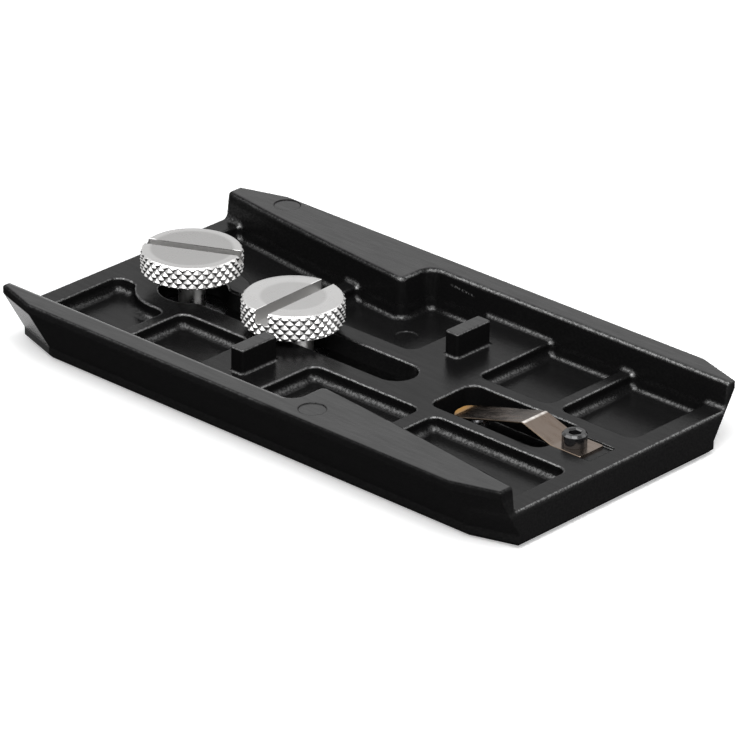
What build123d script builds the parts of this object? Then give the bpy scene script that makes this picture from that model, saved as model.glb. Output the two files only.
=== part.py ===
from build123d import *
import os

# Tripod quick release plate, upside down as it lies on a table: camera face down, dovetail rails up.
# Millimetres. +X runs along the rails, +Z up, origin on the table under the middle of the plate.

# Casting: outside
plate_length = 120.0
rail_top_width = 67.3
rail_undercut = 5.2
casting_height = 12.4
foot_land = 2.3
rail_land = 1.6
lead_in_length = 9.4
lead_in_depth = 3.0
foot_edge_chamfer = 0.8
rail_edge_fillet = 0.5
rail_inner_edge_fillet = 0.8

# Casting: web and the rails' inner walls
web_thickness = 7.3
thin_rail_width = 4.75
wide_rail_width = 12.5
wide_rail_end_width = 6.0
wide_rail_bow = 0.5
rail_step_x = 10.3
rail_wall_draft = 7.0
step_root_radius = 2.6
step_nose_radius = 1.2
wall_foot_radius = 1.1

# Casting: posts, the near one given as it stands after half a turn
far_post_x = 11.05
far_post_y = 15.4
near_post_x = 11.6
near_post_y = 15.9
post_thickness = 3.1
post_width = 8.8
post_below_rail = 0.35
post_foot_radius = 0.6
post_corner_radius = 0.5
post_edge_fillet = 0.3

# Casting: pockets in the web, each with an edge given from the middle
pocket_depth = 2.8
pocket_corner_radius = 2.0
pocket_floor_radius = 1.6
pocket_rim_radius = 0.45
pocket_from_end = 4.3
mid_pocket_start_x = -21.4
mid_pocket_end_x = 4.2
long_pocket_rib = 3.4
short_pocket_start_x = 19.6
short_pocket_rib = 2.6
end_pocket_start_from_end = 21.2
mid_pocket_edge = 8.2
long_pocket_edge = 8.5
short_pocket_edge = 8.7
end_pocket_edge = 8.5
keyhole_end_pocket_edge = 5.7

# Casting: keyhole slot for the camera screws
keyhole_from_end = 17.8
keyhole_radius = 6.3
slot_end_from_spring = 13.0
slot_width = 7.8
slot_neck_radius = 3.0
slot_lip_thickness = 3.85
boss_radius = 10.7
washer_channel_width = 13.8

# Casting: pocket and seat of the leaf spring
spring_pocket_start_from_end = 39.0
spring_pocket_end_from_end = 13.2
spring_pocket_width = 11.5
spring_pocket_floor = 1.5
spring_pocket_corner_radius = 2.2
spring_seat_from_end = 3.8
spring_seat_clearance = 0.25
spring_seat_depth = 0.5

# Casting: round marks left by the mould
rail_mark_diameter = 5.0
pocket_mark_diameter = 4.2
mark_depth = 0.15
near_mark_x = 15.3
near_mark_from_edge = 4.4
far_mark_from_end = 12.1
far_mark_from_edge = 3.0
pocket_mark_x = -4.5
pocket_mark_y = 16.3

# Grip pads on the camera face
pad_from_end = 8.0
pad_width = 13.0
pad_from_middle = 10.5
pad_thickness = 1.2
pad_proud = 0.4
pad_corner_radius = 2.0
pad_clearance = 0.1
pad_edge_fillet = 0.25

# Camera screws: left has the quarter inch thread, right the three eighths inch thread
head_diameter = 18.9
head_top_chamfer = 0.6
head_under_chamfer = 0.4
driver_groove_depth = 2.4
thread_tip_chamfer = 0.6
left_screw_offset = 0.3
left_head_height = 4.2
left_head_raise = 3.7
left_neck_diameter = 5.0
left_thread_diameter = 6.35
left_groove_width = 2.2
left_groove_angle = 26.0
left_groove_offset = 0.5
right_screw_from_left = 25.35
right_head_height = 4.85
right_head_raise = 1.65
right_neck_diameter = 7.5
right_thread_diameter = 9.525
right_groove_width = 2.9
right_groove_angle = 92.0
right_groove_offset = -0.45

# Washers on the camera screws
retaining_washer_diameter = 12.9
retaining_washer_thickness = 0.8
head_washer_diameter = 14.0
head_washer_thickness = 0.5
head_washer_proud = 0.1
washer_bore_clearance = 0.1
washer_gap = 0.1

# Leaf spring: a strip bent up to a crest and down to a tongue over the pin
spring_width = 6.4
spring_thickness = 0.4
spring_from_end = 6.2
spring_flat_length = 6.5
spring_crest_from_flat = 6.7
spring_crest_rise = 2.15
spring_tip_from_crest = 17.2
spring_tip_drop = 2.45
spring_bend_radius = 1.6
spring_crest_radius = 0.5
spring_end_radius = 0.4
spring_tongue_radius = 2.4
spring_hole_clearance = 0.15

# Spring screw: a cap screw with a hexagon socket
spring_screw_from_end = 10.2
spring_screw_head_diameter = 4.5
spring_screw_head_height = 2.4
spring_screw_edge_chamfer = 0.4
spring_screw_socket_width = 2.0
spring_screw_socket_depth = 1.2
spring_screw_socket_chamfer = 0.25
spring_screw_tip_chamfer = 0.3
spring_screw_diameter = 2.5
spring_screw_length = 5.0
spring_screw_clearance = 0.03
spring_screw_hole_extra = 0.5

# Video pin: pushed in level with the pads, it comes out by its travel
pin_from_tip = 3.6
pin_diameter = 4.0
pin_flange_diameter = 5.4
pin_flange_thickness = 0.7
pin_travel = 2.1
pin_clearance = 0.06
pin_gap = 0.1
pin_tip_chamfer = 0.5
pin_button_diameter = 3.0
pin_button_height = 0.35
pin_button_fillet = 0.25

# Places and widths that follow
half_length = plate_length / 2
foot_width = rail_top_width - 2 * rail_undercut
mid_pocket = (mid_pocket_start_x, mid_pocket_end_x, mid_pocket_edge)
long_pocket = (pocket_from_end - half_length, mid_pocket_start_x - long_pocket_rib, long_pocket_edge)
end_pocket_start_x = half_length - end_pocket_start_from_end
end_pocket_ends = (end_pocket_start_x, half_length - pocket_from_end)
short_pocket = (short_pocket_start_x, end_pocket_start_x - short_pocket_rib, short_pocket_edge)
end_pocket = end_pocket_ends + (end_pocket_edge,)
keyhole_end_pocket = end_pocket_ends + (keyhole_end_pocket_edge,)
spring_pocket_start_x = half_length - spring_pocket_start_from_end
spring_pocket_end_x = half_length - spring_pocket_end_from_end
spring_seat_end_x = half_length - spring_seat_from_end
spring_end_x = half_length - spring_from_end
spring_flat_end_x = spring_end_x - spring_flat_length
spring_crest_x = spring_flat_end_x - spring_crest_from_flat
spring_tip_x = spring_crest_x - spring_tip_from_crest
spring_screw_x = half_length - spring_screw_from_end
pin_x = spring_tip_x + pin_from_tip
keyhole_x = keyhole_from_end - half_length
slot_end_x = spring_pocket_start_x - slot_end_from_spring
left_screw_x = keyhole_x - left_screw_offset
right_screw_x = left_screw_x + right_screw_from_left
far_mark_x = far_mark_from_end - half_length
far_post = (far_post_x, far_post_y)
near_post = (near_post_x, near_post_y)
pad_length = plate_length - 2 * pad_from_end

# Heights that follow
face_z = pad_proud
web_z = face_z + web_thickness
rail_z = face_z + casting_height
pocket_floor_z = web_z - pocket_depth
lip_z = web_z - slot_lip_thickness
spring_floor_z = face_z + spring_pocket_floor
spring_seat_z = web_z - spring_seat_depth
retaining_washer_top_z = lip_z - washer_gap
retaining_washer_z = retaining_washer_top_z - retaining_washer_thickness
pin_flange_z = spring_floor_z + pin_gap + pin_travel

# Working values
margin = 6.0
tiny = 0.01
least_lean = 0.05
most_lean = 0.5
level_with = (Align.CENTER, Align.CENTER, Align.MIN)


def turned(shape):
    # Both long sides of the casting are alike after half a turn about the vertical axis.
    return Rot(0, 0, 180) * shape


def rod(x, y, bottom_z, top_z, diameter):
    return Pos(x, y, bottom_z) * Cylinder(diameter / 2, top_z - bottom_z, align=level_with)


def rounded_block(start_x, end_x, width, bottom_z, top_z, radius):
    # Upright block on the X axis with rounded corners in plan.
    plan = Pos((start_x + end_x) / 2, 0, bottom_z) * RectangleRounded(end_x - start_x, width, radius)
    return extrude(plan, amount=top_z - bottom_z)


def slot_block(start_x, end_x, width, bottom_z, top_z):
    # Upright slot shape on the X axis, given by the centres of its round ends.
    plan = Pos((start_x + end_x) / 2, 0, bottom_z) * SlotCenterToCenter(end_x - start_x, width)
    return extrude(plan, amount=top_z - bottom_z)


def is_upright(face):
    return abs(face.normal_at().Z) < tiny


def is_rail_wall(face):
    # The walls between the rails are the only faces that lean by the draft and reach the rail tops.
    lean = abs(face.normal_at().Z)
    return least_lean < lean < most_lean and face.bounding_box().max.Z > rail_z - tiny


def at_height(level):
    # Picks the shapes that lie flat at one height.
    def lies_there(shape):
        box = shape.bounding_box()
        return abs(box.min.Z - level) < tiny and abs(box.max.Z - level) < tiny
    return lies_there


def shared_edges(shape, first, second):
    # Edges between a face of one kind and a face of another.
    second_edges = set(edge for face in shape.faces().filter_by(second) for edge in face.edges())
    first_edges = set(edge for face in shape.faces().filter_by(first) for edge in face.edges())
    return ShapeList(first_edges & second_edges)


def inside_ends(edges):
    # Leaves out the edges on the two end faces of the plate.
    return edges.filter_by(lambda edge: abs(edge.center().X) < half_length - tiny)


def is_outer_rail_edge(edge):
    # The long outer edge of a rail, its lead-ins and its ends, apart from the rounded inner edge.
    centre = edge.center()
    at_end = abs(centre.X) > half_length - tiny
    return at_end or abs(centre.Y) > rail_top_width / 2 - lead_in_depth - tiny


def half_section(x, overshoot):
    # Cross section of one long side: foot land, slanted flank and rail land, out to +Y.
    foot = foot_width / 2
    rail = rail_top_width / 2
    points = [
        (x, -overshoot, face_z),
        (x, foot, face_z),
        (x, foot, face_z + foot_land),
        (x, rail, rail_z - rail_land),
        (x, rail, rail_z),
        (x, -overshoot, rail_z),
    ]
    return make_face(Polyline(*points, close=True))


def blank_casting():
    # One section makes the long side; carried on obliquely past each corner it makes the lead-in.
    reach = rail_top_width
    side = extrude(half_section(-half_length, reach), amount=plate_length, dir=(1, 0, 0))
    bend = half_length - lead_in_length
    run = Vector(lead_in_length, -lead_in_depth, 0)
    lead_in = extrude(half_section(bend, 2 * reach), amount=2 * run.length, dir=run.normalized())
    lead_in += extrude(half_section(bend, 2 * reach), amount=plate_length, dir=(-1, 0, 0))
    one_side = side & lead_in & mirror(lead_in, about=Plane.YZ)
    return one_side & turned(one_side)


def channel_plan():
    # Space between the rails at their tops, seen from below: each rail is wide behind its step.
    end = half_length + margin
    thin = rail_top_width / 2 - thin_rail_width
    step = rail_top_width / 2 - wide_rail_width
    slope = (wide_rail_width - wide_rail_end_width) / (half_length - rail_step_x)
    far_end = step + slope * (end - rail_step_x)
    middle = ((rail_step_x + end) / 2, (step + far_end) / 2 - wide_rail_bow)
    half = [
        Line((end, -thin), (end, far_end)),
        ThreePointArc((end, far_end), middle, (rail_step_x, step)),
        Line((rail_step_x, step), (rail_step_x, thin)),
        Line((rail_step_x, thin), (-end, thin)),
    ]
    plan = make_face([line.edge() for line in half] + [turned(line).edge() for line in half])
    steps = plan.vertices().filter_by(lambda v: abs(abs(v.X) - rail_step_x) < tiny)
    plan = fillet(steps.filter_by(lambda v: abs(v.Y) > thin - tiny), step_root_radius)
    steps = plan.vertices().filter_by(lambda v: abs(abs(v.X) - rail_step_x) < tiny)
    return fillet(steps.filter_by(lambda v: abs(v.Y) < step + tiny), step_nose_radius)


def channel_void(floor_z):
    # The drafted space between the rails, from their tops down to a floor.
    upright = extrude(channel_plan(), amount=rail_z - floor_z, taper=rail_wall_draft)
    return Pos(0, 0, rail_z) * Rot(180, 0, 0) * upright


def pocket_void(ends, deep_channel, boss_x):
    # One web pocket beside the rail: its outer wall is the rail's own wall carried down.
    start_x, end_x, inner_y = ends
    width = rail_top_width / 2 - inner_y
    block = Box(end_x - start_x, width, 2 * pocket_depth, align=(Align.MIN, Align.MIN, Align.MIN))
    void = (Pos(start_x, inner_y, pocket_floor_z) * block) & deep_channel
    if start_x < boss_x < end_x:
        void -= rod(boss_x, 0, pocket_floor_z - margin, web_z + margin, 2 * boss_radius)
    void = fillet(void.edges().filter_by(Axis.Z), pocket_corner_radius)
    floor_edges = shared_edges(void, at_height(pocket_floor_z), is_upright)
    return fillet(floor_edges, pocket_floor_radius)


def post(place):
    # Upright stop post between the slot and the far rail.
    top_z = rail_z - post_below_rail
    plan = Pos(place[0], place[1], web_z - tiny) * Rectangle(post_thickness, post_width)
    block = extrude(plan, amount=top_z - web_z + tiny)
    block = fillet(block.edges().filter_by(Axis.Z), post_corner_radius)
    return fillet(block.edges().group_by(Axis.Z)[-1], post_edge_fillet)


def long_half(blank, last_pocket, boss_x, post_place):
    # The far half of the casting with its pockets, rims and foot fillets.
    half = blank - channel_void(web_z)
    deep_channel = channel_void(pocket_floor_z)
    for ends in (mid_pocket, long_pocket, short_pocket, last_pocket):
        half -= pocket_void(ends, deep_channel, boss_x)
    half = fillet(inside_ends(shared_edges(half, at_height(web_z), is_upright)), pocket_rim_radius)
    walls = half.faces().filter_by(is_rail_wall).filter_by(lambda face: face.center().Y > 0)
    seams = [edge for edge in walls.edges() if sum(edge in face.edges() for face in walls) > 1]
    wall_feet = inside_ends(walls.edges()).filter_by(lambda e: e.center().Z < rail_z - tiny and e not in seams)
    half = fillet(wall_feet, wall_foot_radius)
    half += post(post_place)
    half = fillet(half.edges().filter_by(is_post_foot(post_place)), post_foot_radius)
    keep = Box(2 * plate_length, plate_length, plate_length, align=(Align.CENTER, Align.MIN, Align.CENTER))
    return half & keep


def is_post_foot(place):
    # Picks the edges where a post meets the web.
    def lies_there(edge):
        centre = edge.center()
        near_x = abs(centre.X - place[0]) < post_thickness / 2 + tiny
        near_y = abs(centre.Y - place[1]) < post_width / 2 + tiny
        return near_x and near_y and abs(centre.Z - web_z) < tiny
    return lies_there


def keyhole_slot(bottom_z, top_z):
    # Long slot with a round keyhole at its left end.
    slot = slot_block(keyhole_x, slot_end_x, slot_width, bottom_z, top_z)
    slot += rod(keyhole_x, 0, bottom_z, top_z, 2 * keyhole_radius)
    necks = slot.edges().filter_by(Axis.Z).filter_by(lambda edge: edge.center().X < keyhole_x + keyhole_radius)
    return fillet(necks.sort_by(Axis.X)[-2:], slot_neck_radius)


def plate_body():
    blank = blank_casting()
    body = long_half(blank, end_pocket, keyhole_x, far_post)
    body += turned(long_half(blank, keyhole_end_pocket, -keyhole_x, near_post))
    body = fillet(shared_edges(body, at_height(rail_z), is_rail_wall), rail_inner_edge_fillet)
    body = fillet(body.edges().filter_by(at_height(rail_z)).filter_by(is_outer_rail_edge), rail_edge_fillet)
    body = chamfer(body.edges().filter_by(at_height(face_z)), foot_edge_chamfer)

    # Keyhole slot with the wider channel for the retaining washers below its lip.
    body -= keyhole_slot(face_z - margin, web_z + margin)
    body = fillet(inside_ends(shared_edges(body, at_height(web_z), is_upright)), pocket_rim_radius)
    body -= slot_block(keyhole_x, slot_end_x, washer_channel_width, face_z - margin, lip_z)

    # Spring pocket, seat of the clamped end, screw hole and pin hole.
    body -= rounded_block(spring_pocket_start_x, spring_pocket_end_x, spring_pocket_width,
                          spring_floor_z, web_z + margin, spring_pocket_corner_radius)
    body = fillet(inside_ends(shared_edges(body, at_height(web_z), is_upright)), pocket_rim_radius)
    seat_width = spring_width + 2 * spring_seat_clearance
    body -= rounded_block(spring_pocket_end_x - spring_pocket_corner_radius, spring_seat_end_x, seat_width,
                          spring_seat_z, web_z + margin, spring_end_radius)
    screw_tip_z = spring_seat_z + spring_thickness - spring_screw_length
    screw_hole = spring_screw_diameter + 2 * spring_screw_clearance
    body -= rod(spring_screw_x, 0, screw_tip_z - spring_screw_hole_extra, web_z, screw_hole)
    body -= rod(pin_x, 0, face_z - margin, web_z, pin_diameter + 2 * pin_clearance)

    # Mould marks.
    near_y = near_mark_from_edge - rail_top_width / 2
    far_y = rail_top_width / 2 - far_mark_from_edge
    body -= rod(near_mark_x, near_y, rail_z - mark_depth, rail_z + margin, rail_mark_diameter)
    body -= rod(far_mark_x, far_y, rail_z - mark_depth, rail_z + margin, rail_mark_diameter)
    body -= rod(pocket_mark_x, pocket_mark_y, pocket_floor_z - mark_depth, pocket_floor_z + tiny,
                pocket_mark_diameter)

    # Recesses for the grip pads.
    recess_z = face_z + pad_thickness - pad_proud
    recess = rounded_block(-pad_length / 2 - pad_clearance, pad_length / 2 + pad_clearance,
                           pad_width + 2 * pad_clearance, face_z - margin, recess_z, pad_corner_radius)
    recess_y = pad_from_middle + pad_width / 2
    body -= Pos(0, recess_y, 0) * recess
    body -= Pos(0, -recess_y, 0) * recess
    return body


def grip_pad(side):
    pad = rounded_block(-pad_length / 2, pad_length / 2, pad_width, 0, pad_thickness, pad_corner_radius)
    pad = fillet(pad.edges().group_by(Axis.Z)[0], pad_edge_fillet)
    return Pos(0, side * (pad_from_middle + pad_width / 2), 0) * pad


def camera_screw(x, head_height, head_raise, neck_diameter, thread_diameter, groove):
    # Head, neck through the slot, and a short thread that starts under the retaining washer.
    head_z = web_z + head_raise
    top_z = head_z + head_height
    thread_top_z = retaining_washer_z - washer_gap
    head = rod(0, 0, head_z, top_z, head_diameter)
    head = chamfer(head.edges().filter_by(GeomType.CIRCLE).sort_by(Axis.Z)[-1], head_top_chamfer)
    head = chamfer(head.edges().filter_by(GeomType.CIRCLE).sort_by(Axis.Z)[0], head_under_chamfer)
    groove_width, groove_angle, groove_offset = groove
    cutter = Box(2 * head_diameter, groove_width, 2 * driver_groove_depth)
    head -= Pos(0, 0, top_z) * Rot(0, 0, groove_angle) * Pos(0, groove_offset, 0) * cutter
    washer_recess = head_washer_diameter + 2 * washer_gap
    recess_top_z = head_z - head_washer_proud + head_washer_thickness + washer_gap
    head -= rod(0, 0, head_z, recess_top_z, washer_recess)
    neck = rod(0, 0, thread_top_z, recess_top_z, neck_diameter)
    thread = rod(0, 0, 0, thread_top_z, thread_diameter)
    thread = chamfer(thread.edges().group_by(Axis.Z)[0], thread_tip_chamfer)
    return Pos(x, 0, 0) * (head + neck + thread)


def washer(x, bottom_z, thickness, diameter, neck_diameter):
    ring = rod(x, 0, bottom_z, bottom_z + thickness, diameter)
    return ring - rod(x, 0, bottom_z, bottom_z + thickness, neck_diameter + 2 * washer_bore_clearance)


def leaf_spring():
    # Strip profile: clamped flat, bend up to the crest, then straight down to the tongue.
    flat_z = spring_seat_z + spring_thickness
    top = [
        Vector(spring_end_x, flat_z),
        Vector(spring_flat_end_x, flat_z),
        Vector(spring_crest_x, flat_z + spring_crest_rise),
        Vector(spring_tip_x, flat_z - spring_tip_drop),
    ]
    runs = [(after - before).normalized() for before, after in zip(top, top[1:])]
    downs = [Vector(-run.Y, run.X) for run in runs]
    joins = [downs[0]] + [(a + b) / (1 + a.dot(b)) for a, b in zip(downs, downs[1:])] + [downs[-1]]
    under = [point + join * spring_thickness for point, join in zip(top, joins)]
    face = make_face(Polyline(*[(point.X, 0, point.Y) for point in top + under[::-1]], close=True))
    bends = [
        (top[1], spring_bend_radius),
        (under[1], spring_bend_radius + spring_thickness),
        (top[2], spring_crest_radius + spring_thickness),
        (under[2], spring_crest_radius),
    ]
    for point, radius in bends:
        corner = face.vertices().sort_by_distance((point.X, 0, point.Y))[0]
        face = fillet(corner, radius)
    strip = extrude(face, amount=spring_width / 2, both=True, dir=(0, 1, 0))
    plan = rounded_block(spring_tip_x, spring_end_x + margin, spring_width, 0, rail_z, spring_tongue_radius)
    strip &= plan
    strip = fillet(strip.edges().filter_by(Axis.Z).sort_by(Axis.X)[-2:], spring_end_radius)
    return strip - rod(spring_screw_x, 0, 0, rail_z, spring_screw_diameter + 2 * spring_hole_clearance)


def spring_screw():
    under_z = spring_seat_z + spring_thickness
    top_z = under_z + spring_screw_head_height
    head = rod(0, 0, under_z, top_z, spring_screw_head_diameter)
    head = chamfer(head.edges().group_by(Axis.Z)[-1], spring_screw_edge_chamfer)
    hexagon = RegularPolygon(spring_screw_socket_width / 2, 6, major_radius=False)
    head -= extrude(Pos(0, 0, top_z - spring_screw_socket_depth) * hexagon, amount=spring_screw_socket_depth)
    socket_rim = head.edges().filter_by(at_height(top_z)).filter_by(GeomType.LINE)
    head = chamfer(socket_rim, spring_screw_socket_chamfer)
    shank = rod(0, 0, under_z - spring_screw_length, under_z, spring_screw_diameter)
    shank = chamfer(shank.edges().group_by(Axis.Z)[0], spring_screw_tip_chamfer)
    return Pos(spring_screw_x, 0, 0) * (head + shank)


def video_pin():
    shank = rod(0, 0, 0, pin_flange_z, pin_diameter)
    shank = chamfer(shank.edges().group_by(Axis.Z)[0], pin_tip_chamfer)
    flange_top_z = pin_flange_z + pin_flange_thickness
    flange = rod(0, 0, pin_flange_z, flange_top_z, pin_flange_diameter)
    button = rod(0, 0, flange_top_z, flange_top_z + pin_button_height, pin_button_diameter)
    button = fillet(button.edges().group_by(Axis.Z)[-1], pin_button_fillet)
    return Pos(pin_x, 0, 0) * (shank + flange + button)


left_head_z = web_z + left_head_raise
right_head_z = web_z + right_head_raise
left_groove = (left_groove_width, left_groove_angle, left_groove_offset)
right_groove = (right_groove_width, right_groove_angle, right_groove_offset)
pieces = {
    "plate_body": plate_body(),
    "near_grip_pad": grip_pad(-1),
    "far_grip_pad": grip_pad(1),
    "left_camera_screw": camera_screw(left_screw_x, left_head_height, left_head_raise, left_neck_diameter,
                                      left_thread_diameter, left_groove),
    "right_camera_screw": camera_screw(right_screw_x, right_head_height, right_head_raise, right_neck_diameter,
                                       right_thread_diameter, right_groove),
    "left_retaining_washer": washer(left_screw_x, retaining_washer_z, retaining_washer_thickness,
                                    retaining_washer_diameter, left_neck_diameter),
    "right_retaining_washer": washer(right_screw_x, retaining_washer_z, retaining_washer_thickness,
                                     retaining_washer_diameter, right_neck_diameter),
    "left_head_washer": washer(left_screw_x, left_head_z - head_washer_proud, head_washer_thickness,
                               head_washer_diameter, left_neck_diameter),
    "right_head_washer": washer(right_screw_x, right_head_z - head_washer_proud, head_washer_thickness,
                                head_washer_diameter, right_neck_diameter),
    "leaf_spring": leaf_spring(),
    "spring_screw": spring_screw(),
    "video_pin": video_pin(),
}

os.makedirs("parts", exist_ok=True)
for name, shape in pieces.items():
    solid = shape.solid()
    solid.label = name
    export_step(solid, f"parts/{name}.step")
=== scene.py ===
import math

import bpy
import numpy as np
from mathutils import Matrix, Vector


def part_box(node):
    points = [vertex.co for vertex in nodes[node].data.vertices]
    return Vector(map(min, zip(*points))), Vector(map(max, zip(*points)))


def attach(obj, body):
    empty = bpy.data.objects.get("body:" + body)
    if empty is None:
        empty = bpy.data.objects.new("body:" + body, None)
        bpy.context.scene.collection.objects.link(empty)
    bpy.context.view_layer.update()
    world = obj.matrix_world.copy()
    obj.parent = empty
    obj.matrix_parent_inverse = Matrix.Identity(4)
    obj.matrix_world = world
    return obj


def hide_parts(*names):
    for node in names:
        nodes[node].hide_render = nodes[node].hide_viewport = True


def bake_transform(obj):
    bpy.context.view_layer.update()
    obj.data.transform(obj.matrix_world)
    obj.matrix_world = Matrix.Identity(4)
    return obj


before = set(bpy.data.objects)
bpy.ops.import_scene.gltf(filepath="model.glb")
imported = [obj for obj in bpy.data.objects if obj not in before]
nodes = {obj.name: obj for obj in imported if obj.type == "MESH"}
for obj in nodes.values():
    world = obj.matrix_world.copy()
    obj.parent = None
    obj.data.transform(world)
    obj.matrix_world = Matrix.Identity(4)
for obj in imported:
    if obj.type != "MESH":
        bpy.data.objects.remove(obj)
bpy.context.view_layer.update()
mm = 0.001
bpy.context.scene.view_settings.view_transform = "Standard"
print("frame loaded:", len(nodes), "CAD nodes")


# small helpers for meshes and node trees

def makeObject(name, points, faces, sharpDeg=35.0):
    # points (n, 3) in metres and a list of corner tuples become a mesh object at the origin
    mesh = bpy.data.meshes.new(name)
    mesh.from_pydata(np.asarray(points, float).tolist(), [], faces)
    mesh.validate()
    mesh.polygons.foreach_set("use_smooth", np.ones(len(mesh.polygons), bool))
    mesh.set_sharp_from_angle(angle=math.radians(sharpDeg))
    piece = bpy.data.objects.new(name, mesh)
    bpy.context.scene.collection.objects.link(piece)
    return piece


def gridQuads(rows, cols, wrap):
    # corners of the quads between neighbouring rows and columns; wrap joins the last column to the first
    index = np.arange(rows * cols).reshape(rows, cols)
    right = np.roll(index, -1, axis=1)
    last = cols if wrap else cols - 1
    quads = np.stack([index[:-1], right[:-1], right[1:], index[1:]], axis=-1)[:, :last]
    return quads.reshape(-1, 4).tolist()


def closedGrid(grid):
    # grid (rows, cols, 3) wraps around its columns; the first and last rows close on a point at their middle
    rows, cols = grid.shape[:2]
    points = np.concatenate([grid.reshape(-1, 3), [grid[0].mean(axis=0), grid[-1].mean(axis=0)]])
    first = np.arange(cols)
    last = first + (rows - 1) * cols
    startFan = np.stack([np.roll(first, -1), first, np.full(cols, rows * cols)], axis=-1)
    endFan = np.stack([last, np.roll(last, -1), np.full(cols, rows * cols + 1)], axis=-1)
    return points, gridQuads(rows, cols, True) + startFan.tolist() + endFan.tolist()


def cutAway(piece, cutter, sharpDeg):
    # takes the cutter's closed shape out of the piece and leaves a plain mesh with no modifier
    cut = piece.modifiers.new("cut", "BOOLEAN")
    cut.operation = "DIFFERENCE"
    cut.solver = "EXACT"
    cut.object = cutter
    graph = bpy.context.evaluated_depsgraph_get()
    mesh = bpy.data.meshes.new_from_object(piece.evaluated_get(graph))
    piece.modifiers.clear()
    piece.data = mesh
    bpy.data.objects.remove(cutter)
    mesh.set_sharp_from_angle(angle=math.radians(sharpDeg))


def roundInset(gap, radius):
    # how far a round corner draws an edge in at a gap from its end: the radius less half the chord there
    left = np.clip(radius - gap, 0.0, radius)
    return radius - np.sqrt(np.clip(radius ** 2 - left ** 2, 0.0, None))


def newMaterial(name):
    # a node material with the Principled shader that Blender puts in it
    material = bpy.data.materials.new(name)
    material.use_nodes = True
    tree = material.node_tree
    return material, tree, tree.nodes["Principled BSDF"]


def addNode(tree, kind, **values):
    # values go to the node's inputs by name, or to its own properties
    node = tree.nodes.new(kind)
    for key, value in values.items():
        if key in node.inputs:
            node.inputs[key].default_value = value
        else:
            setattr(node, key, value)
    return node


def dress(piece, material):
    # the material takes the place of every other one on the piece
    piece.data.materials.clear()
    piece.data.materials.append(material)


# camera at the photograph's place, fitted to the plate's corners
view = {"place": (0.64468, -0.69710, 0.45585), "azimuth": 42.708, "elevation": 25.370, "roll": 0.653,
        "focalPx": 5920.4, "framePx": 736, "sensor": 36.0}
cameraData = bpy.data.cameras.new("camera")
cameraData.sensor_width = view["sensor"]
cameraData.lens = view["sensor"] * view["focalPx"] / view["framePx"]
cameraData.clip_start = 0.01
camera = bpy.data.objects.new("camera", cameraData)
bpy.context.scene.collection.objects.link(camera)
camera.matrix_world = (Matrix.Translation(view["place"])
                       @ Matrix.Rotation(math.radians(view["azimuth"]), 4, "Z")
                       @ Matrix.Rotation(math.radians(90 - view["elevation"]), 4, "X")
                       @ Matrix.Rotation(math.radians(view["roll"]), 4, "Z"))
bpy.context.scene.camera = camera
print("camera placed, lens", round(cameraData.lens, 2), "mm")


# surface effects that several finishes share
grainRange = (0.55, 1.05)  # most of what the grain's height spans
edgeSamples = 6  # rays of the bevel that softens edges


def newGroup(name, takes, gives):
    # a shader node group that takes a vector and some numbers and gives numbers
    group = bpy.data.node_groups.new(name, "ShaderNodeTree")
    group.interface.new_socket("Vector", in_out="INPUT", socket_type="NodeSocketVector")
    for socket in takes:
        group.interface.new_socket(socket, in_out="INPUT", socket_type="NodeSocketFloat")
    for socket in gives:
        group.interface.new_socket(socket, in_out="OUTPUT", socket_type="NodeSocketFloat")
    return group, addNode(group, "NodeGroupInput"), addNode(group, "NodeGroupOutput")


def grainGroup():
    # cast or moulded grain: the height is a coarse noise plus 0.6 of a fine one, the drift is the coarse one
    group, start, end = newGroup("castGrain", ["FineScale", "CoarseScale"], ["Height", "Drift"])
    fine = addNode(group, "ShaderNodeTexNoise", Detail=3.0, Roughness=0.6)
    coarse = addNode(group, "ShaderNodeTexNoise", Detail=2.0, Roughness=0.5)
    total = addNode(group, "ShaderNodeMath", operation="MULTIPLY_ADD")
    total.inputs[1].default_value = 0.6
    link = group.links.new
    link(start.outputs["Vector"], fine.inputs["Vector"])
    link(start.outputs["Vector"], coarse.inputs["Vector"])
    link(start.outputs["FineScale"], fine.inputs["Scale"])
    link(start.outputs["CoarseScale"], coarse.inputs["Scale"])
    link(fine.outputs["Fac"], total.inputs[0])
    link(coarse.outputs["Fac"], total.inputs[2])
    link(total.outputs[0], end.inputs["Height"])
    link(coarse.outputs["Fac"], end.inputs["Drift"])
    return group


def turnedGroup():
    # lathe marks: the height is a noise of the distance from the axis over the pitch, and the distance
    # itself makes zones
    group, start, end = newGroup("turnedMarks", ["Pitch"], ["Height", "Distance"])
    flat = addNode(group, "ShaderNodeVectorMath", operation="MULTIPLY")
    flat.inputs[1].default_value = (1.0, 1.0, 0.0)
    reach = addNode(group, "ShaderNodeVectorMath", operation="LENGTH")
    turns = addNode(group, "ShaderNodeMath", operation="DIVIDE")
    uneven = addNode(group, "ShaderNodeTexNoise", noise_dimensions="1D", Scale=1.0, Detail=2.0)
    link = group.links.new
    link(start.outputs["Vector"], flat.inputs[0])
    link(flat.outputs["Vector"], reach.inputs[0])
    link(reach.outputs["Value"], turns.inputs[0])
    link(start.outputs["Pitch"], turns.inputs[1])
    link(turns.outputs[0], uneven.inputs["W"])
    link(uneven.outputs["Fac"], end.inputs["Height"])
    link(reach.outputs["Value"], end.inputs["Distance"])
    return group


grain = grainGroup()
turnedMarks = turnedGroup()


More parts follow.
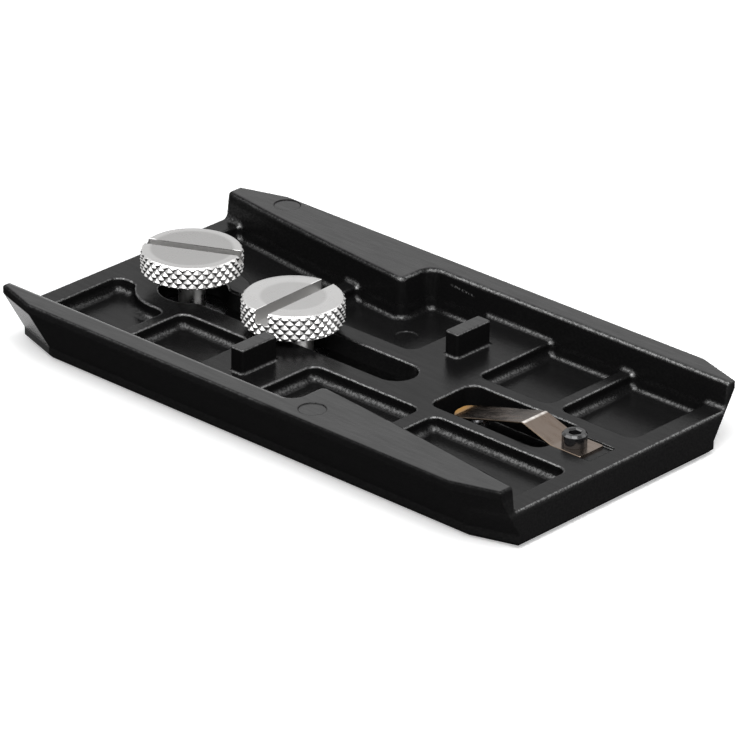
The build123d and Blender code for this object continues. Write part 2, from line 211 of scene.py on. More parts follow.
def placeGrain(tree, fineScale, coarseScale, stretch=(1.0, 1.0, 1.0)):
    # the grain on the piece's own coordinates; a stretch under 1 draws it out into streaks along that axis
    coordinates = addNode(tree, "ShaderNodeTexCoord")
    mapping = addNode(tree, "ShaderNodeMapping", Scale=stretch)
    placed = addNode(tree, "ShaderNodeGroup", node_tree=grain)
    placed.inputs["FineScale"].default_value = fineScale
    placed.inputs["CoarseScale"].default_value = coarseScale
    tree.links.new(coordinates.outputs["Object"], mapping.inputs["Vector"])
    tree.links.new(mapping.outputs["Vector"], placed.inputs["Vector"])
    return placed


def placeTurned(tree, centre, pitch):
    # the marks run round an upright axis through the centre
    coordinates = addNode(tree, "ShaderNodeTexCoord")
    mapping = addNode(tree, "ShaderNodeMapping", Location=(-centre[0], -centre[1], 0.0))
    placed = addNode(tree, "ShaderNodeGroup", node_tree=turnedMarks)
    placed.inputs["Pitch"].default_value = pitch
    tree.links.new(coordinates.outputs["Object"], mapping.inputs["Vector"])
    tree.links.new(mapping.outputs["Vector"], placed.inputs["Vector"])
    return placed


def placeOf(tree):
    # the X, Y and Z of a point on the piece, in metres
    coordinates = addNode(tree, "ShaderNodeTexCoord")
    split = addNode(tree, "ShaderNodeSeparateXYZ")
    tree.links.new(coordinates.outputs["Object"], split.inputs[0])
    return split


def combined(tree, operation, *terms):
    # joins masks two by two with a maths operation, such as a product or the larger one
    total = terms[0]
    for term in terms[1:]:
        node = addNode(tree, "ShaderNodeMath", operation=operation)
        tree.links.new(total, node.inputs[0])
        tree.links.new(term, node.inputs[1])
        total = node.outputs[0]
    return total


def withoutSign(tree, source):
    # the source where it is above 0 and its opposite where it is below
    node = addNode(tree, "ShaderNodeMath", operation="ABSOLUTE")
    tree.links.new(source, node.inputs[0])
    return node.outputs[0]


def upwardPart(tree, normal):
    # the Z of a normal: 1 on a face that looks up, 0 on an upright one and -1 on one that looks down
    split = addNode(tree, "ShaderNodeSeparateXYZ")
    tree.links.new(normal, split.inputs[0])
    return split.outputs["Z"]


def rampBetween(tree, source, low, high, fromLow=0.35, fromHigh=0.65):
    # carries the source from its own range, or a noise's usual one, to low and high, and stops at both
    node = addNode(tree, "ShaderNodeMapRange")
    node.inputs["From Min"].default_value = fromLow
    node.inputs["From Max"].default_value = fromHigh
    node.inputs["To Min"].default_value = low
    node.inputs["To Max"].default_value = high
    tree.links.new(source, node.inputs["Value"])
    return node.outputs["Result"]


def fromPlace(tree, source, span):
    # 0 before the span, which is in mm, and 1 after it
    return rampBetween(tree, source, 0.0, 1.0, span[0] * mm, span[1] * mm)


def upToPlace(tree, source, span):
    # 1 before the span, which is in mm, and 0 after it
    return rampBetween(tree, source, 1.0, 0.0, span[0] * mm, span[1] * mm)


def rampStops(tree, source, stops):
    # a colour or grey that eases from stop to stop; each stop is (place, colour), in the source's own units
    first, last = stops[0][0], stops[-1][0]
    node = addNode(tree, "ShaderNodeValToRGB")
    for place, colour in stops[1:-1]:
        node.color_ramp.elements.new((place - first) / (last - first)).color = (*colour, 1.0)
    node.color_ramp.elements[0].color = (*stops[0][1], 1.0)
    node.color_ramp.elements[-1].color = (*stops[-1][1], 1.0)
    tree.links.new(rampBetween(tree, source, 0.0, 1.0, first, last), node.inputs[0])
    return node.outputs["Color"]


def grainRough(tree, placed, finish):
    # the finish's roughness, from its low to its high value as the grain's height rises
    return rampBetween(tree, placed.outputs["Height"], finish["roughLow"], finish["roughHigh"], *grainRange)


def toneOver(tree, mask, colour, tone):
    # the colour, and the tone where the mask is 1
    node = addNode(tree, "ShaderNodeMix", data_type="RGBA")
    node.inputs[7].default_value = (*tone, 1.0)
    tree.links.new(mask, node.inputs[0])
    tree.links.new(colour, node.inputs[6])
    return node.outputs[2]


def colourBetween(tree, source, low, high):
    # the low colour where the source is 0, easing to the high one where it is 1
    node = addNode(tree, "ShaderNodeMix", data_type="RGBA")
    node.inputs[6].default_value = (*low, 1.0)
    node.inputs[7].default_value = (*high, 1.0)
    tree.links.new(source, node.inputs[0])
    return node.outputs[2]


def bumpFrom(tree, height, distance, strength, normal=None):
    # a normal tilted by the height, over the piece's own normal or the one given
    node = addNode(tree, "ShaderNodeBump", Distance=distance, Strength=strength)
    tree.links.new(height, node.inputs["Height"])
    if normal is not None:
        tree.links.new(normal, node.inputs["Normal"])
    return node.outputs["Normal"]


def fillShader(tree, shader, colour, rough, normal):
    # the three inputs that every finish drives
    tree.links.new(colour, shader.inputs["Base Color"])
    tree.links.new(rough, shader.inputs["Roughness"])
    tree.links.new(normal, shader.inputs["Normal"])


# black coated casting; places are in mm, thinFrom is X times Y, and a film list gives the film's share at
# each height or upward lean
casting = {"dark": (0.0045, 0.0045, 0.0048), "light": (0.0085, 0.0083, 0.0083),
           "roughLow": 0.45, "roughHigh": 0.62, "gloss": 0.20, "filmIor": 1.9,
           "grainScales": (5200.0, 2400.0), "grainHeight": 0.00005, "grainStrength": 0.5, "edgeGrain": 1.3,
           "edgeBreak": 0.40, "breakRange": (0.42, 0.58), "edgeRadius": 0.00042,
           "flatLean": (0.90, 0.985), "streaks": (0.88, 1.10),
           "streakScales": (3000.0, 1400.0), "streakStretch": (0.10, 1.0, 1.0),
           "leanFilm": [(-0.4, 0.02), (0.0, 0.09), (0.05, 0.10), (0.5, 1.0)],
           "flatFilm": [(5.0, 0.28), (7.1, 0.30), (8.2, 0.30), (12.2, 0.60)],
           "edgeFilm": [(5.0, 0.35), (6.6, 0.40), (7.1, 1.0), (7.68, 1.0), (7.9, 0.40), (10.5, 0.40),
                        (12.2, 0.75)],
           "outerEdge": (29.5, 31.0), "outerFilm": 0.25, "wideFilm": 0.25, "thinFrom": (-290.0, -250.0),
           "railFrom": (10.5, 11.5), "railTop": (12.0, 12.3),
           "lineFrom": (-30.2, -29.7), "lineUpTo": (-28.0, -27.0),
           "rubbedEndX": -50.6, "rubbedTopZ": 10.7, "rubbedSoft": 0.2, "rubbedFilm": (0.6, 0.15),
           "rubbedLean": (-0.4, 0.0), "rubbedUpTo": (0.03, 0.06),
           "scratchStart": (-5.2, 10.9), "scratchEnd": (0.8, 10.4), "scratchHalf": 0.28, "scratchFade": 0.5,
           "scratchFrom": (20.0, 21.0), "scratchUpTo": (30.0, 30.5), "scratchBreaks": (0.45, 0.55),
           "scratchTone": (0.14, 0.14, 0.14)}


def scratchMask(tree, place, breaks):
    # 1 on a short scratch across the far rail's inner wall: near a sloping line in X and Z, between its
    # ends, broken up by the grain
    (startX, startZ), (endX, endZ) = casting["scratchStart"], casting["scratchEnd"]
    half, fade = casting["scratchHalf"], casting["scratchFade"]
    slope = (endZ - startZ) / (endX - startX)
    middle = startZ - slope * startX
    lineZ = addNode(tree, "ShaderNodeMath", operation="MULTIPLY_ADD")
    lineZ.inputs[1].default_value = -slope
    tree.links.new(place.outputs["X"], lineZ.inputs[0])
    tree.links.new(place.outputs["Z"], lineZ.inputs[2])
    over = fromPlace(tree, lineZ.outputs[0], (middle - half, middle))
    under = upToPlace(tree, lineZ.outputs[0], (middle, middle + half))
    after = fromPlace(tree, place.outputs["X"], (startX, startX + fade))
    before = upToPlace(tree, place.outputs["X"], (endX - fade, endX))
    farSide = fromPlace(tree, place.outputs["Y"], casting["scratchFrom"])
    insideRail = upToPlace(tree, place.outputs["Y"], casting["scratchUpTo"])
    patchy = rampBetween(tree, breaks, 0.0, 1.0, *casting["scratchBreaks"])
    return combined(tree, "MULTIPLY", over, under, after, before, farSide, insideRail, patchy)


def castingFinish():
    # black powder under a satin film: the film grows with the upward part of the normal, so it stays thin on
    # the undercut flanks, apart from the left lead-ins; on flat faces, which are streaked along X, and on
    # rounded edges it goes by height, thickest on pocket rims and rail tops; it is thin on the rails' outer
    # edges and on the top edges of their wide parts, where X times Y is low, and full in a line inside the
    # near rail's narrow part; faint colour drift, grain that is deeper on the edges and breaks their film,
    # edges softened by a bevel, one scratch
    material, tree, shader = newMaterial("blackCasting")
    placed = placeGrain(tree, *casting["grainScales"])
    colour = colourBetween(tree, placed.outputs["Drift"], casting["dark"], casting["light"])
    rough = grainRough(tree, placed, casting)
    edge = addNode(tree, "ShaderNodeBevel", samples=edgeSamples, Radius=casting["edgeRadius"])
    upward = upwardPart(tree, edge.outputs["Normal"])
    lyingFlat = rampBetween(tree, upward, 0.0, 1.0, *casting["flatLean"])
    place = placeOf(tree)
    x, y, z = (place.outputs[axis] for axis in "XYZ")
    grey = lambda stops, unit: [(at * unit, (share,) * 3) for at, share in stops]
    streaks = placeGrain(tree, *casting["streakScales"], casting["streakStretch"])
    flat = combined(tree, "MULTIPLY", rampStops(tree, z, grey(casting["flatFilm"], mm)),
                    rampBetween(tree, streaks.outputs["Height"], *casting["streaks"], *grainRange))
    thinPart = rampBetween(tree, combined(tree, "MULTIPLY", x, y), 0.0, 1.0,
                           *(limit * mm * mm for limit in casting["thinFrom"]))
    wideEdges = combined(tree, "MAXIMUM", rampBetween(tree, thinPart, casting["wideFilm"], 1.0, 0.0, 1.0),
                         upToPlace(tree, z, casting["railFrom"]))
    inner, outer = casting["outerEdge"]
    outerEdges = rampBetween(tree, withoutSign(tree, y), 1.0, casting["outerFilm"], inner * mm, outer * mm)
    broken = rampBetween(tree, placed.outputs["Drift"], casting["edgeBreak"], 1.0, *casting["breakRange"])
    rounded = combined(tree, "MULTIPLY", rampStops(tree, upward, grey(casting["leanFilm"], 1.0)),
                       rampStops(tree, z, grey(casting["edgeFilm"], mm)), broken, outerEdges, wideEdges)
    chosen = addNode(tree, "ShaderNodeMix", data_type="FLOAT")
    tree.links.new(lyingFlat, chosen.inputs[0])
    tree.links.new(rounded, chosen.inputs[2])
    tree.links.new(flat, chosen.inputs[3])
    endX, topZ, soft = casting["rubbedEndX"], casting["rubbedTopZ"], casting["rubbedSoft"]
    rubbedSheen = combined(tree, "MULTIPLY", upToPlace(tree, x, (endX - soft, endX + soft)),
                      upToPlace(tree, z, (topZ - soft, topZ + soft)),
                      rampBetween(tree, upward, *casting["rubbedFilm"], *casting["rubbedLean"]),
                      rampBetween(tree, upward, 1.0, 0.0, *casting["rubbedUpTo"]))
    lined = combined(tree, "MULTIPLY", fromPlace(tree, y, casting["lineFrom"]),
                     upToPlace(tree, y, casting["lineUpTo"]),
                     fromPlace(tree, z, casting["railTop"]), thinPart)
    film = combined(tree, "MAXIMUM", chosen.outputs[0], rubbedSheen, lined)
    grainHeight = combined(tree, "MULTIPLY", placed.outputs["Height"],
                           rampBetween(tree, lyingFlat, casting["edgeGrain"], 1.0, 0.0, 1.0))
    normal = bumpFrom(tree, grainHeight, casting["grainHeight"], casting["grainStrength"],
                      edge.outputs["Normal"])
    scratched = toneOver(tree, scratchMask(tree, place, placed.outputs["Drift"]), colour,
                         casting["scratchTone"])
    shader.inputs["Specular IOR Level"].default_value = 0.0
    shader.inputs["Coat Roughness"].default_value = casting["gloss"]
    shader.inputs["Coat IOR"].default_value = casting["filmIor"]
    fillShader(tree, shader, scratched, rough, normal)
    tree.links.new(film, shader.inputs["Coat Weight"])
    tree.links.new(normal, shader.inputs["Coat Normal"])
    return material


dress(nodes["plate_body"], castingFinish())
print("casting dressed")


# bright camera screws: knurled head, neck and cut thread, in mm
screwShape = {"topChamfer": 0.6, "underChamfer": 0.4, "topRound": 0.04, "dish": 0.05, "dishEase": 0.2,
              "middle": 0.1, "grooveDepth": 2.4, "grooveFlare": 0.05, "grooveRise": 1.0,
              "recess": 14.2, "recessDepth": 0.5, "threadTop": 2.85, "threadDepth": 0.6, "runOut": 0.4,
              "tipChamfer": 0.6, "knurls": 32, "knurlRise": 1.8, "knurlDepth": 0.46, "knurlFlat": 1.08,
              "columns": 384, "rowStep": 0.075, "sharpDeg": 32.0}
screwFinish = {"roughLow": 0.24, "roughHigh": 0.38, "grooveRough": 0.45, "groove": (0.43, 0.425, 0.42),
               "rimGap": (0.8, 0.6), "topGap": (0.25, 0.12), "floorGap": (0.1, 0.05), "zoneEase": 0.3,
               "undersideShadeShare": 0.35, "undersideShadeLean": (-0.45, 0.0), "grainScales": (3800.0, 420.0),
               "ringPitch": 0.00011, "ringHeight": 0.000012, "ringStrength": 0.25}
leftScrew = {"node": "left_camera_screw", "body": "left_screw", "headHeight": 4.2, "neck": 5.0,
             "thread": 6.35, "pitch": 1.27, "grooveWidth": 2.2, "grooveAngle": 26.0, "grooveOffset": 0.5,
             "zone": 0.80, "plate": (0.53, 0.525, 0.52), "dull": (0.40, 0.395, 0.39)}
rightScrew = {"node": "right_camera_screw", "body": "right_screw", "headHeight": 4.85, "neck": 7.5,
              "thread": 9.525, "pitch": 1.5875, "grooveWidth": 2.9, "grooveAngle": 92.0,
              "grooveOffset": -0.45, "zone": 0.63, "plate": (0.57, 0.565, 0.56), "dull": (0.47, 0.465, 0.46)}


def triangleWave(turns):
    # 0 where turns is whole, rising straight to 1 half way between
    return 1.0 - np.abs(2.0 * (turns - np.floor(turns)) - 1.0)


def screwSurface(screw, top, radius):
    # a lathe profile (radius, height) swept round the axis; on the head's side two crossing helical waves
    # press diamonds into the radius and the chamfers cut them off, and below the neck one helical wave cuts
    # the thread
    s = screwShape
    angle = np.linspace(0.0, 2 * np.pi, s["columns"], endpoint=False)
    under = top - screw["headHeight"]
    discEdge, dishEdge = radius - s["topChamfer"], screw["zone"] * radius
    threadRows = np.arange(0.0, s["threadTop"], s["rowStep"])
    sideRows = np.linspace(under, top - s["topRound"], int(screw["headHeight"] / s["rowStep"]) + 1)
    neck, recess = screw["neck"] / 2, s["recess"] / 2
    below = [(neck, s["threadTop"]), (neck, under + s["recessDepth"]), (recess, under + s["recessDepth"]),
             (recess, under)]
    dishZ = top - s["dish"]
    above = [(discEdge - s["topRound"], top), (dishEdge + s["dishEase"], top),
             (dishEdge - s["dishEase"], dishZ), (0.5 * dishEdge, dishZ), (s["middle"], dishZ)]
    around, climb = angle * s["knurls"] / (2 * np.pi), sideRows[:, None] / s["knurlRise"]
    crossed = np.minimum(triangleWave(around + climb), triangleWave(around - climb))
    topCut = np.clip(sideRows - top + s["topChamfer"], 0.0, None)
    underCut = np.clip(under + s["underChamfer"] - sideRows, 0.0, None)
    side = np.minimum(radius - s["knurlDepth"] * (1.0 - np.clip(crossed * s["knurlFlat"], 0.0, 1.0)),
                      (radius - topCut - underCut)[:, None])
    depth = s["threadDepth"] * screw["pitch"]
    cut = triangleWave(threadRows[:, None] / screw["pitch"] - angle / (2 * np.pi))
    runOut = np.clip((s["threadTop"] - threadRows) / s["runOut"], 0.0, 1.0)[:, None]
    tip = np.clip(s["tipChamfer"] - threadRows, 0.0, None)[:, None]
    thread = np.minimum(screw["thread"] / 2 - depth * cut * runOut, screw["thread"] / 2 - tip)
    plain = lambda pairs: np.repeat(np.array([pair[0] for pair in pairs])[:, None], s["columns"], axis=1)
    radii = np.concatenate([thread, plain(below), side, plain(above)])
    heights = np.concatenate([threadRows, [pair[1] for pair in below], sideRows,
                              [pair[1] for pair in above]])
    return np.stack([radii * np.cos(angle), radii * np.sin(angle),
                     np.repeat(heights[:, None], s["columns"], axis=1)], axis=-1)


def grooveCutter(screw, top, radius):
    # the driver groove's section, flared at its rim, carried straight across the head and past it
    half, depth, flare = screw["grooveWidth"] / 2, screwShape["grooveDepth"], screwShape["grooveFlare"]
    rise, reach = screwShape["grooveRise"], 1.5 * radius
    section = np.array([(-half, -depth), (half, -depth), (half, -flare), (half + flare + rise, rise),
                        (-half - flare - rise, rise), (-half, -flare)])
    ends = np.array([-reach, reach])
    turn = math.radians(screw["grooveAngle"])
    along = np.repeat(ends[:, None], len(section), axis=1)
    across = np.repeat(section[None, :, 0] + screw["grooveOffset"], 2, axis=0)
    height = np.repeat(section[None, :, 1] + top, 2, axis=0)
    grid = np.stack([along * math.cos(turn) - across * math.sin(turn),
                     along * math.sin(turn) + across * math.cos(turn), height], axis=-1)
    return closedGrid(grid)


def screwMaterial(screw, centre, radius, top):
    # bright nickel: turned marks round the axis, a duller disc in the middle of the top, uneven gloss,
    # painted shade that darkens faces turned down, and a rough-milled groove in a darker grey, which is all
    # that lies inside the rim between the top and the groove's floor
    material, tree, shader = newMaterial(screw["body"] + "Nickel")
    marks = placeTurned(tree, centre, screwFinish["ringPitch"])
    placed = placeGrain(tree, *screwFinish["grainScales"])
    place = placeOf(tree)
    before = lambda edge, gaps: [edge - gap for gap in gaps]
    zoneEdge, zoneEase = screw["zone"] * radius, screwFinish["zoneEase"]
    zone = upToPlace(tree, marks.outputs["Distance"], (zoneEdge - zoneEase, zoneEdge + zoneEase))
    topColour = colourBetween(tree, zone, screw["plate"], screw["dull"])
    shine = rampBetween(tree, placed.outputs["Drift"], screwFinish["roughLow"], screwFinish["roughHigh"])
    inside = upToPlace(tree, marks.outputs["Distance"], before(radius, screwFinish["rimGap"]))
    below = upToPlace(tree, place.outputs["Z"], before(top, screwFinish["topGap"]))
    grooveFloor = top - screwShape["grooveDepth"]
    above = fromPlace(tree, place.outputs["Z"], before(grooveFloor, screwFinish["floorGap"]))
    milled = combined(tree, "MULTIPLY", inside, below, above)
    # painted shade: the colour falls to the underside share on faces turned down and stays full on upright
    # and upward faces
    shape = addNode(tree, "ShaderNodeNewGeometry")
    lit = rampBetween(tree, upwardPart(tree, shape.outputs["Normal"]), screwFinish["undersideShadeShare"], 1.0,
                      *screwFinish["undersideShadeLean"])
    shaded = addNode(tree, "ShaderNodeVectorMath", operation="SCALE")
    tree.links.new(toneOver(tree, milled, topColour, screwFinish["groove"]), shaded.inputs[0])
    tree.links.new(lit, shaded.inputs["Scale"])
    dulled = addNode(tree, "ShaderNodeMix", data_type="FLOAT")
    dulled.inputs[3].default_value = screwFinish["grooveRough"]
    tree.links.new(milled, dulled.inputs[0])
    tree.links.new(shine, dulled.inputs[2])
    normal = bumpFrom(tree, marks.outputs["Height"], screwFinish["ringHeight"], screwFinish["ringStrength"])
    shader.inputs["Metallic"].default_value = 1.0
    fillShader(tree, shader, shaded.outputs["Vector"], dulled.outputs[0], normal)
    return material


def cameraScrew(screw):
    # the turned surface in its CAD node's box, less the driver groove
    low, high = (np.array(corner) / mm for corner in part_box(screw["node"]))
    centre = (low + high) / 2
    radius = (high[0] - low[0]) / 2
    shift = np.array([centre[0], centre[1], 0.0])
    points, faces = closedGrid(screwSurface(screw, high[2], radius))
    piece = makeObject(screw["body"] + "Turned", (points + shift) * mm, faces)
    points, faces = grooveCutter(screw, high[2], radius)
    cutter = makeObject("grooveCutter", (points + shift) * mm, faces)
    cutAway(piece, cutter, screwShape["sharpDeg"])
    dress(piece, screwMaterial(screw, centre * mm, radius, high[2]))
    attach(piece, screw["body"])
    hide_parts(screw["node"])
    return piece


for screw in (leftScrew, rightScrew):
    made = cameraScrew(screw)
    print(made.name, len(made.data.polygons), "faces")


# bronze leaf spring over the pin, in mm; the path is the middle of the strip
spring = {"thickness": 0.4, "flat": 6.5, "crestFromFlat": 6.7, "crestRise": 2.15, "tipDrop": 2.45,
          "bend": 1.8, "crest": 0.7, "endRound": 0.4, "tongueRound": 2.4, "edgeRound": 0.12,
          "step": 0.12, "arcPoints": 9, "pinFromTip": 3.6, "curlLength": 1.5, "curlRise": 0.55}
# along the strip: the warm tip is a painted glint, the dark tongue is painted shade, the near-white crest
# band is rubbed bronze with a painted highlight, and the paler clamped half is painted light
bronze = {"warmGlint": (0.40, 0.22, 0.07), "dark": (0.080, 0.059, 0.045), "rubbedSheen": (0.95, 0.90, 0.85),
          "light": (0.205, 0.165, 0.138), "fromTip": [(0.3, "warmGlint"), (2.4, "dark")],
          "fromCrest": [(-0.45, "dark"), (-0.15, "rubbedSheen"), (0.2, "rubbedSheen"), (0.5, "light")],
          "streak": (0.15, 0.112, 0.088), "streakShare": 0.7, "streakRange": (0.45, 0.7),
          "cutEdge": (0.05, 0.038, 0.028), "cutFrom": (3.0, 3.12), "roughLow": 0.16, "roughHigh": 0.32,
          "grainScales": (2600.0, 1100.0), "grainStretch": (0.14, 1.0, 1.0), "grainHeight": 0.00001,
          "grainStrength": 0.3}


def roundedPath(corners, radii, step):
    # straight runs joined by arcs tangent to both, then points spaced evenly along it, about a step apart
    corners = np.array(corners, float)
    runs = np.diff(corners, axis=0)
    runs = runs / np.linalg.norm(runs, axis=1)[:, None]
    path = [corners[:1]]
    for corner, before, after, radius in zip(corners[1:-1], runs, runs[1:], radii):
        turn = math.acos(np.clip(before @ after, -1.0, 1.0))
        inset = radius * math.tan(turn / 2)
        side = np.sign(before[0] * after[1] - before[1] * after[0])
        middle = corner - inset * before + side * radius * np.array([-before[1], before[0]])
        sweep = np.linspace(0.0, side * turn, spring["arcPoints"])
        spoke = corner - inset * before - middle
        arc = np.stack([spoke[0] * np.cos(sweep) - spoke[1] * np.sin(sweep),
                        spoke[0] * np.sin(sweep) + spoke[1] * np.cos(sweep)], -1)
        path.append(arc + middle)
    path.append(corners[-1:])
    path = np.concatenate(path)
    length = np.concatenate([[0.0], np.cumsum(np.linalg.norm(np.diff(path, axis=0), axis=1))])
    even = np.linspace(0.0, length[-1], int(length[-1] / step) + 1)
    return np.stack([np.interp(even, length, path[:, 0]), np.interp(even, length, path[:, 1])], -1)


def leafSpring():
    # a thin section with bevelled corners carried along the bent path, whose tip curls up as a square; the
    # width is drawn in by the round corners at both ends of the strip
    low, high = (np.array(corner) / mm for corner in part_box("leaf_spring"))
    half = spring["thickness"] / 2
    crestX = high[0] - spring["flat"] - spring["crestFromFlat"]
    flatZ = high[2] - spring["crestRise"] - half
    corners = [(high[0], flatZ), (high[0] - spring["flat"], flatZ), (crestX, flatZ + spring["crestRise"]),
               (low[0], flatZ - spring["tipDrop"])]
    path = roundedPath(corners, [spring["bend"], spring["crest"]], spring["step"])
    toEnd, toTip = high[0] - path[:, 0], path[:, 0] - low[0]
    path[:, 1] -= path[:, 1].max() + half - high[2]
    path[:, 1] += spring["curlRise"] * np.clip(1.0 - toTip / spring["curlLength"], 0.0, 1.0) ** 2
    width = (high[1] - low[1]) / 2
    halfWidth = width - np.maximum(roundInset(toEnd, spring["endRound"]),
                                   roundInset(toTip, spring["tongueRound"]))
    slope = np.gradient(path, axis=0)
    slope = slope / np.linalg.norm(slope, axis=1)[:, None]
    upX, upZ = slope[:, 1], -slope[:, 0]
    bevel, sideZ = spring["edgeRound"], half - spring["edgeRound"]
    section = np.array([(-1, bevel, half), (1, -bevel, half), (1, 0, sideZ), (1, 0, -sideZ),
                        (1, -bevel, -half), (-1, bevel, -half), (-1, 0, -sideZ), (-1, 0, sideZ)])
    side, inset, lift = section.T
    across = halfWidth[:, None] * side + inset
    grid = np.stack([path[:, :1] + upX[:, None] * lift, across + (low[1] + high[1]) / 2,
                     path[:, 1:] + upZ[:, None] * lift], axis=-1)
    points, faces = closedGrid(grid)
    piece = makeObject("leafSpringStrip", points * mm, faces)
    dress(piece, springMaterial(low[0], crestX))
    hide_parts("leaf_spring")
    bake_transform(piece)
    return piece


def springMaterial(tipX, crestX):
    # rolled bronze along X: a painted warm glint at the tip, painted shade on the tongue, rubbed bronze with
    # a painted highlight on the crest and painted light on the clamped half, each tone eased into the next,
    # and all streaked along the strip, with dark cut edges
    material, tree, shader = newMaterial("rolledBronze")
    placed = placeGrain(tree, *bronze["grainScales"], bronze["grainStretch"])
    place = placeOf(tree)
    # painted light and shade along X: a glint at the tip, shade on the tongue, a highlight on the crest and
    # light on the clamped half
    stops = [((start + x) * mm, bronze[tone]) for start, run in ((tipX, "fromTip"), (crestX, "fromCrest"))
             for x, tone in bronze[run]]
    tones = rampStops(tree, place.outputs["X"], stops)
    streaked = rampBetween(tree, placed.outputs["Drift"], 0.0, bronze["streakShare"], *bronze["streakRange"])
    tarnishOverPaintedLight = toneOver(tree, streaked, tones, bronze["streak"])
    cut = fromPlace(tree, withoutSign(tree, place.outputs["Y"]), bronze["cutFrom"])
    colour = toneOver(tree, cut, tarnishOverPaintedLight, bronze["cutEdge"])
    rough = grainRough(tree, placed, bronze)
    normal = bumpFrom(tree, placed.outputs["Height"], bronze["grainHeight"], bronze["grainStrength"])
    shader.inputs["Metallic"].default_value = 1.0
    fillShader(tree, shader, colour, rough, normal)
    return material


made = leafSpring()
print(made.name, len(made.data.polygons), "faces")


# ribbed rubber pads on the camera face, in mm
pad = {"ribPitch": 1.3, "ribDepth": 0.3, "ribEase": 0.3, "border": 1.0, "corner": 2.0, "edge": 0.25,
       "rows": 400, "cols": 60, "sharpDeg": 50.0}
padRubber = {"colour": (0.018, 0.018, 0.018), "worn": (0.028, 0.027, 0.026), "shine": 0.3,
             "roughLow": 0.62, "roughHigh": 0.82,
             "grainScales": (4000.0, 260.0), "grainHeight": 0.00004, "grainStrength": 0.4}


def gripPad(node):
    # the underside is a grid whose height follows a cosine along the pad; the border stays flat, the rim
    # turns up in a quarter circle, and a skirt joins it to the flat top
    low, high = (np.array(corner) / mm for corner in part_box(node))
    middle, half = (low + high) / 2, (high - low) / 2
    u = np.linspace(-1.0, 1.0, pad["rows"])[:, None]
    v = np.linspace(-1.0, 1.0, pad["cols"])[None, :]
    x, y = u * half[0] + 0 * v, v * half[1] + 0 * u
    limit = half[1] - roundInset(half[0] - np.abs(x), pad["corner"])
    y = y * limit / half[1]
    rim = np.minimum(half[0] - np.abs(x), limit - np.abs(y))
    wave = 0.5 - 0.5 * np.cos(2 * np.pi * x / pad["ribPitch"])
    groove = pad["ribDepth"] * wave * np.clip((rim - pad["border"]) / pad["ribEase"], 0.0, 1.0)
    lip = roundInset(rim, pad["edge"])
    under = np.stack([x + middle[0], y + middle[1], low[2] + groove + lip], -1)
    over = np.stack([x + middle[0], y + middle[1], np.full_like(x, high[2])], -1)
    rows, cols = pad["rows"], pad["cols"]
    lower = np.array(gridQuads(rows, cols, False))[:, ::-1]
    upper = np.array(gridQuads(rows, cols, False)) + rows * cols
    index = np.arange(rows * cols).reshape(rows, cols)
    loop = np.concatenate([index[0, :-1], index[:-1, -1], index[-1, :0:-1], index[:0:-1, 0]])
    ahead = np.roll(loop, -1)
    skirt = np.stack([loop, ahead, ahead + rows * cols, loop + rows * cols], -1)
    points = np.concatenate([under.reshape(-1, 3), over.reshape(-1, 3)])
    faces = lower.tolist() + upper.tolist() + skirt.tolist()
    piece = makeObject(node + "Ribbed", points * mm, faces, pad["sharpDeg"])
    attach(piece, "plate")
    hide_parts(node)
    return piece


def rubberFinish():
    # matt rubber with a dusty bloom in slow patches
    material, tree, shader = newMaterial("padRubber")
    placed = placeGrain(tree, *padRubber["grainScales"])
    colour = colourBetween(tree, placed.outputs["Drift"], padRubber["colour"], padRubber["worn"])
    rough = grainRough(tree, placed, padRubber)
    normal = bumpFrom(tree, placed.outputs["Height"], padRubber["grainHeight"], padRubber["grainStrength"])
    shader.inputs["Specular IOR Level"].default_value = padRubber["shine"]
    fillShader(tree, shader, colour, rough, normal)
    return material


rubber = rubberFinish()
for node in ("near_grip_pad", "far_grip_pad"):
    made = gripPad(node)
    dress(made, rubber)
    print(made.name, len(made.data.polygons), "faces")


# small steel pieces keep their CAD shape
steel = {"bright": (0.52, 0.52, 0.53), "dull": (0.38, 0.38, 0.39), "roughLow": 0.18, "roughHigh": 0.32,
         "grainScales": (3000.0, 350.0), "ringPitch": 0.00016, "ringHeight": 0.000012, "ringStrength": 0.3}
blackSteel = {"dark": (0.006, 0.006, 0.007), "light": (0.014, 0.013, 0.013),
              "roughLow": 0.10, "roughHigh": 0.20, "grainScales": (4200.0, 700.0),
              "ringPitch": 0.0001, "ringHeight": 0.00001, "ringStrength": 0.3, "edgeRadius": 0.00012}


def steelFinish(node):
    # zinc plated steel with turned marks round the piece's own axis
    low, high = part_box(node)
    material, tree, shader = newMaterial(node + "Steel")
    marks = placeTurned(tree, (low + high) / 2, steel["ringPitch"])
    placed = placeGrain(tree, *steel["grainScales"])
    colour = colourBetween(tree, placed.outputs["Drift"], steel["dull"], steel["bright"])
    rough = grainRough(tree, placed, steel)
    normal = bumpFrom(tree, marks.outputs["Height"], steel["ringHeight"], steel["ringStrength"])
    shader.inputs["Metallic"].default_value = 1.0
    fillShader(tree, shader, colour, rough, normal)
    dress(nodes[node], material)


def blackScrewFinish(node):
    # black oxide with turned marks and softened edges
    low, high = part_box(node)
    material, tree, shader = newMaterial("blackOxide")
    marks = placeTurned(tree, (low + high) / 2, blackSteel["ringPitch"])
    placed = placeGrain(tree, *blackSteel["grainScales"])
    colour = colourBetween(tree, placed.outputs["Drift"], blackSteel["dark"], blackSteel["light"])
    rough = grainRough(tree, placed, blackSteel)
    edge = addNode(tree, "ShaderNodeBevel", samples=edgeSamples, Radius=blackSteel["edgeRadius"])
    normal = bumpFrom(tree, marks.outputs["Height"], blackSteel["ringHeight"], blackSteel["ringStrength"],
                      edge.outputs["Normal"])
    fillShader(tree, shader, colour, rough, normal)
    dress(nodes[node], material)


steelNodes = ("left_retaining_washer", "right_retaining_washer", "left_head_washer", "right_head_washer",
              "video_pin")
for node in steelNodes:
    steelFinish(node)
blackScrewFinish("spring_screw")
print("small pieces dressed")


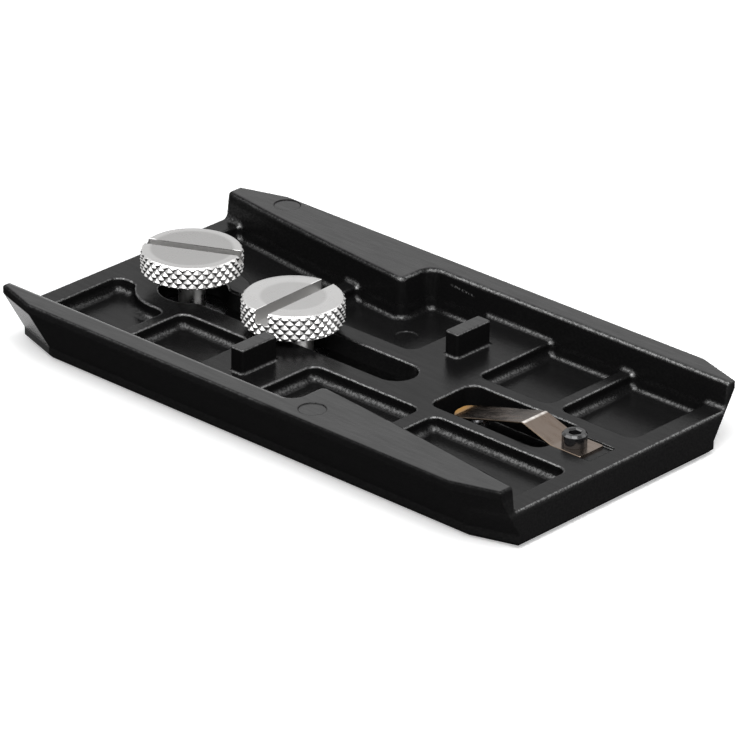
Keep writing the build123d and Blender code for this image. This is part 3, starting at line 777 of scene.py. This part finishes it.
# world, floor and lamps
stage = {"floor": 3.0, "floorColour": (0.88, 0.88, 0.88), "floorRough": 0.9, "floorShine": 0.1,
         "floorGlow": 0.38, "worldStrength": 0.40}
topSoftbox = {"place": (0.42, -0.46, 1.05), "size": (0.8, 0.7), "power": 13.0, "card": False}
frontCard = {"place": (0.78, -0.84, 0.52), "size": (2.8, 0.8), "power": 20.0, "card": True}
leftCard = {"place": (-0.475, -0.704, 0.849), "size": (1.06, 0.8), "power": 11.0, "card": True}
backCard = {"place": (0.515, 0.793, 0.739), "size": (0.6, 0.6), "power": 2.2, "card": True}


def seenRays(tree):
    # 1 for rays from the camera, from reflections and through glass, 0 for the rest
    path = addNode(tree, "ShaderNodeLightPath")
    return combined(tree, "MAXIMUM", path.outputs["Is Camera Ray"], path.outputs["Is Glossy Ray"],
                    path.outputs["Is Transmission Ray"])


def whiteWorld():
    # plain white to the camera, to reflections and through glass; a softer level for everything else
    world = bpy.data.worlds.new("studio")
    bpy.context.scene.world = world
    world.use_nodes = True
    tree = world.node_tree
    background = tree.nodes["Background"]
    background.inputs["Color"].default_value = (1.0, 1.0, 1.0, 1.0)
    level = rampBetween(tree, seenRays(tree), stage["worldStrength"], 1.0, 0.0, 1.0)
    tree.links.new(level, background.inputs["Strength"])


def paleFloor():
    # a large flat sheet under the plate, with a little glow for the camera so that it reads white around its
    # shadow
    half = stage["floor"]
    corners = np.array([[-half, -half, 0], [half, -half, 0], [half, half, 0], [-half, half, 0]])
    floor = makeObject("floor", corners, [(0, 1, 2, 3)])
    material, tree, shader = newMaterial("paleFloor")
    shader.inputs["Base Color"].default_value = (*stage["floorColour"], 1.0)
    shader.inputs["Roughness"].default_value = stage["floorRough"]
    shader.inputs["Specular IOR Level"].default_value = stage["floorShine"]
    shader.inputs["Emission Color"].default_value = (1.0, 1.0, 1.0, 1.0)
    tree.links.new(rampBetween(tree, seenRays(tree), 0.0, stage["floorGlow"], 0.0, 1.0),
                   shader.inputs["Emission Strength"])
    dress(floor, material)


def softLight(name, lamp):
    # a rectangular softbox that looks at the middle of the plate; a card shows in reflections only
    light = bpy.data.lights.new(name, "AREA")
    light.shape = "RECTANGLE"
    light.size, light.size_y = lamp["size"]
    light.energy = lamp["power"]
    box = bpy.data.objects.new(name, light)
    box.visible_diffuse = not lamp["card"]
    box.location = lamp["place"]
    box.rotation_euler = (-Vector(lamp["place"])).to_track_quat("-Z", "Y").to_euler()
    bpy.context.scene.collection.objects.link(box)


whiteWorld()
paleFloor()
softLight("topSoftbox", topSoftbox)
softLight("frontCard", frontCard)
softLight("leftCard", leftCard)
softLight("backCard", backCard)
print("stage and light set")
